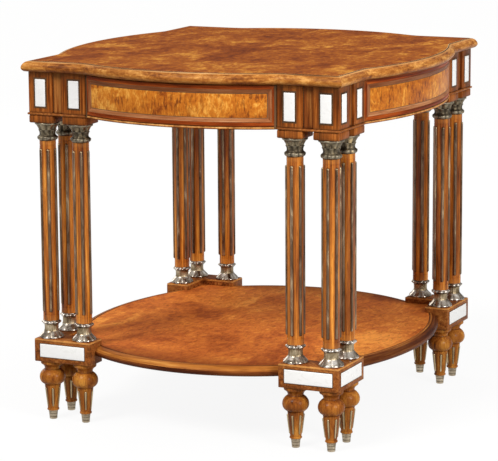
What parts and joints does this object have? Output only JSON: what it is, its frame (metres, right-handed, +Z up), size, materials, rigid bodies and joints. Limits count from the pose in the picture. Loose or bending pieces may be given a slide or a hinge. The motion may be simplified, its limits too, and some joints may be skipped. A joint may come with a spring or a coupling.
{
  "type": "pier table",
  "caption": "Bow-sided occasional table with grouped columns with applied metal rods at each corner, a low bowed shelf on turned feet, a frieze with burr panels, pale inlays and a hidden frieze drawer.",
  "frame": {"origin": "on the floor under the middle of the table", "axes": "+X to the right, +Y to the back, +Z up; the drawer opens towards -Y"},
  "size_m": [0.761, 0.8228, 0.715],
  "materials": {
    "figured_mahogany": "figured golden brown veneer, polished",
    "edge_mahogany": "cross-cut lipping and beads, polished",
    "banding_mahogany": "reddish cross-banding, polished",
    "turned_mahogany": "turned and polished",
    "burr_veneer": "golden burr panel, polished",
    "drawer_oak": "drawer lining, waxed",
    "carcase_oak": "hidden carcase timber, unpolished",
    "pearl_inlay": "pale inlay plaque, satin",
    "polished_nickel": "cast and polished",
    "patinated_pewter": "cast, dark in the hollows",
    "antique_brass": "dull antique finish"
  },
  "bodies": {
    "table": {"feet_front_right": "turned_mahogany", "column_bases_front_right": "polished_nickel", "capitals_front_right": "patinated_pewter", "abaci_front_right": "turned_mahogany", "plinth_front_right": "banding_mahogany", "corner_block_front_right": "banding_mahogany", "column_front_right_corner": "turned_mahogany", "column_front_right_first": "turned_mahogany", "column_front_right_second": "turned_mahogany", "feet_back_right": "turned_mahogany", "column_bases_back_right": "polished_nickel", "capitals_back_right": "patinated_pewter", "abaci_back_right": "turned_mahogany", "plinth_back_right": "banding_mahogany", "corner_block_back_right": "banding_mahogany", "column_back_right_corner": "turned_mahogany", "column_back_right_first": "turned_mahogany", "column_back_right_second": "turned_mahogany", "feet_back_left": "turned_mahogany", "column_bases_back_left": "polished_nickel", "capitals_back_left": "patinated_pewter", "abaci_back_left": "turned_mahogany", "plinth_back_left": "banding_mahogany", "corner_block_back_left": "banding_mahogany", "column_back_left_corner": "turned_mahogany", "column_back_left_first": "turned_mahogany", "column_back_left_second": "turned_mahogany", "feet_front_left": "turned_mahogany", "column_bases_front_left": "polished_nickel", "capitals_front_left": "patinated_pewter", "abaci_front_left": "turned_mahogany", "plinth_front_left": "banding_mahogany", "corner_block_front_left": "banding_mahogany", "column_front_left_corner": "turned_mahogany", "column_front_left_first": "turned_mahogany", "column_front_left_second": "turned_mahogany", "ferrules": "antique_brass", "applied_rods": "patinated_pewter", "plinth_inlays": "pearl_inlay", "die_inlays": "pearl_inlay", "corner_beads": "edge_mahogany", "frieze_right": "banding_mahogany", "frieze_back": "banding_mahogany", "frieze_left": "banding_mahogany", "frieze_panels": "burr_veneer", "top_dowels": "carcase_oak", "top_slab": "figured_mahogany", "top_nosing": "edge_mahogany", "shelf": "figured_mahogany", "front_rail": "carcase_oak", "back_rail": "carcase_oak", "runner_right": "carcase_oak", "runner_left": "carcase_oak", "drawer_kickers": "carcase_oak"},
    "drawer": {"drawer_front": "banding_mahogany", "drawer_panel": "burr_veneer", "drawer_side_left": "drawer_oak", "drawer_side_right": "drawer_oak", "drawer_back": "drawer_oak", "drawer_bottom": "drawer_oak"}
  },
  "joints": [
    {"name": "drawer_slide", "type": "slide", "parent": "table", "child": "drawer", "axis": [0, -1, 0], "range_m": [0, 0.28]}
  ]
}
